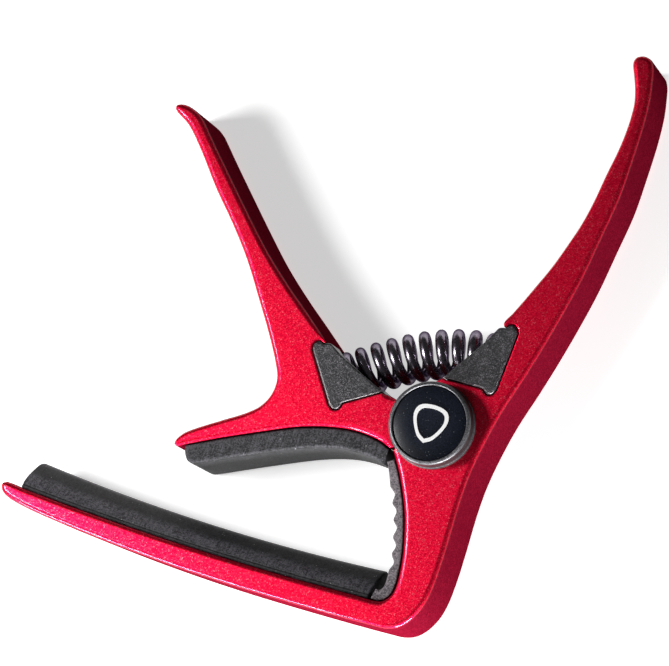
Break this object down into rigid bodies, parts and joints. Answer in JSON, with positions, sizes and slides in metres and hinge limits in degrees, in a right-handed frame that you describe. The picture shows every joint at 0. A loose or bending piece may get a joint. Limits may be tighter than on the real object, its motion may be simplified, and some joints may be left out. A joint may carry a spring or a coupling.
{
  "type": "guitar capo",
  "caption": "Spring-loaded trigger-style guitar capo: two crimson metal halves on a capped pivot, a coil spring between the handles, and rubber pads on the jaws.",
  "frame": {"origin": "middle of the bottom of the whole capo's box: the flat back of both halves lies on z = 0", "axes": "+Z out of the front face with the cap; X runs along the string arm, from its tip towards the web; Y from the string arm towards the handles"},
  "size_m": [0.0802, 0.0944, 0.015],
  "materials": {
    "body_enamel": "metallic-flake crimson enamel",
    "lever_enamel": "metallic-flake crimson enamel",
    "screw_steel": "plated",
    "nut_steel": "plated",
    "bush_bronze": "plain bronze",
    "back_washer_steel": "plated",
    "front_washer_steel": "plated",
    "cap_ring_metal": "satin grey",
    "cap_disc_gloss": "gloss near-black",
    "cap_emblem_silver": "silver print",
    "lever_seat_plastic": "fine grain",
    "body_seat_plastic": "fine grain",
    "spring_steel": "polished",
    "string_pad_rubber": "matt",
    "neck_pad_rubber": "matt",
    "web_liner_rubber": "matt"
  },
  "bodies": {
    "body": {"body": "body_enamel", "pivot_screw": "screw_steel", "pivot_nut": "nut_steel", "back_washer": "back_washer_steel", "front_washer": "front_washer_steel", "cap_ring": "cap_ring_metal", "cap_disc": "cap_disc_gloss", "cap_emblem": "cap_emblem_silver", "body_spring_seat": "body_seat_plastic", "spring": "spring_steel", "string_pad": "string_pad_rubber", "web_liner": "web_liner_rubber"},
    "lever": {"lever": "lever_enamel", "lever_spring_seat": "lever_seat_plastic", "neck_pad": "neck_pad_rubber", "pivot_bush": "bush_bronze"}
  },
  "joints": [
    {"name": "lever_pivot", "type": "hinge", "parent": "body", "child": "lever", "pos_m": [0.02345, -0.01545, 0.006], "axis": [0, 0, -1], "range_deg": [0, 25], "stiffness_Nm_per_rad": 0.8, "springref_deg": -37.24, "deforming": ["spring"]}
  ]
}
